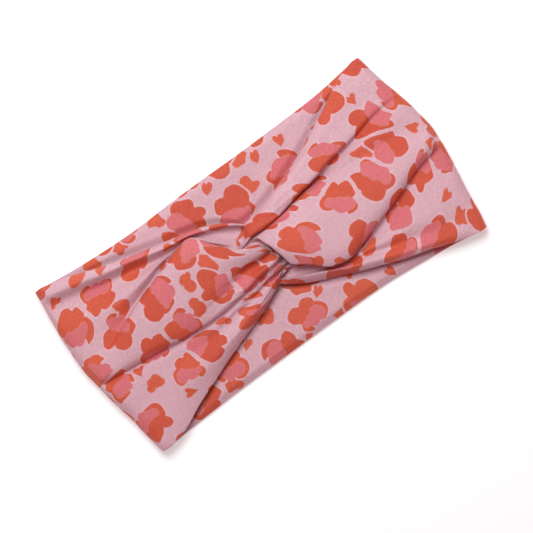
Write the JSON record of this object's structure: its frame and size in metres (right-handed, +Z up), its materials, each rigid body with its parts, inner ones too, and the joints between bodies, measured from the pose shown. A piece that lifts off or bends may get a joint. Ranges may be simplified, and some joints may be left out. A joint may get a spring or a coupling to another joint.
{
  "type": "spa headband",
  "caption": "Wide soft jersey headband lying flat: a closed double-layer loop whose gathered front halves are looped through each other in a central knot.",
  "frame": {"origin": "on the table, under the middle of the knot", "axes": "+X along the flattened loop, +Y across the band, +Z up from the table"},
  "size_m": [0.24, 0.1184, 0.0209],
  "materials": {
    "printed_jersey": "matt brushed jersey, pale pink with orange red and coral blots",
    "sewing_thread": "pink polyester thread"
  },
  "bodies": {
    "back_left_middle": {"back_left_middle_edge_threads": "sewing_thread", "back_left_middle_inner_ply": "printed_jersey", "back_left_middle_outer_ply": "printed_jersey"},
    "back_left_side": {"back_left_side_edge_threads": "sewing_thread", "back_left_side_inner_ply": "printed_jersey", "back_left_side_outer_ply": "printed_jersey", "left_fold_edge_threads": "sewing_thread", "left_fold_inner_ply": "printed_jersey", "left_fold_outer_ply": "printed_jersey"},
    "front_left_side": {"front_left_side_edge_threads": "sewing_thread", "front_left_side_inner_ply": "printed_jersey", "front_left_side_outer_ply": "printed_jersey"},
    "knot_run": {"knot_edge_threads": "sewing_thread", "knot_inner_ply": "printed_jersey", "knot_left_outer_ply": "printed_jersey", "knot_right_outer_ply": "printed_jersey", "knot_seam_allowances": "printed_jersey", "knot_seam_thread": "sewing_thread", "left_knot_strand": "printed_jersey", "right_knot_strand": "printed_jersey"},
    "front_right_side": {"front_right_side_edge_threads": "sewing_thread", "front_right_side_inner_ply": "printed_jersey", "front_right_side_outer_ply": "printed_jersey"},
    "back_right_side": {"back_right_side_edge_threads": "sewing_thread", "back_right_side_inner_ply": "printed_jersey", "back_right_side_outer_ply": "printed_jersey", "right_fold_edge_threads": "sewing_thread", "right_fold_inner_ply": "printed_jersey", "right_fold_outer_ply": "printed_jersey"},
    "back_right_middle": {"back_right_middle_edge_threads": "sewing_thread", "back_right_middle_inner_ply": "printed_jersey", "back_right_middle_outer_ply": "printed_jersey"}
  },
  "joints": [
    {"name": "back_left_bend", "type": "hinge", "parent": "back_left_middle", "child": "back_left_side", "pos_m": [-0.045, 0, 0.0025], "axis": [0, -1, 0], "range_deg": [-60, 0]},
    {"name": "left_fold", "type": "hinge", "parent": "back_left_side", "child": "front_left_side", "pos_m": [-0.109, 0, 0.005], "axis": [0, -1, 0], "range_deg": [0, 120], "deforming": ["left_fold_edge_threads", "left_fold_inner_ply", "left_fold_outer_ply"]},
    {"name": "front_left_bend", "type": "hinge", "parent": "front_left_side", "child": "knot_run", "pos_m": [-0.045, 0, 0.0075], "axis": [0, -1, 0], "range_deg": [-60, 0]},
    {"name": "front_right_bend", "type": "hinge", "parent": "knot_run", "child": "front_right_side", "pos_m": [0.045, 0, 0.0075], "axis": [0, -1, 0], "range_deg": [-60, 0]},
    {"name": "right_fold", "type": "hinge", "parent": "front_right_side", "child": "back_right_side", "pos_m": [0.109, 0, 0.005], "axis": [0, -1, 0], "range_deg": [0, 120], "deforming": ["right_fold_edge_threads", "right_fold_inner_ply", "right_fold_outer_ply"]},
    {"name": "back_right_bend", "type": "hinge", "parent": "back_right_side", "child": "back_right_middle", "pos_m": [0.045, 0, 0.0025], "axis": [0, -1, 0], "range_deg": [-60, 0]}
  ],
  "couplings": [
    {"joint": "back_left_bend", "follows": "left_fold", "ratio": -0.5},
    {"joint": "front_left_bend", "follows": "left_fold", "ratio": -0.5},
    {"joint": "front_right_bend", "follows": "left_fold", "ratio": -0.5},
    {"joint": "right_fold", "follows": "left_fold", "ratio": 1},
    {"joint": "back_right_bend", "follows": "left_fold", "ratio": -0.5}
  ]
}
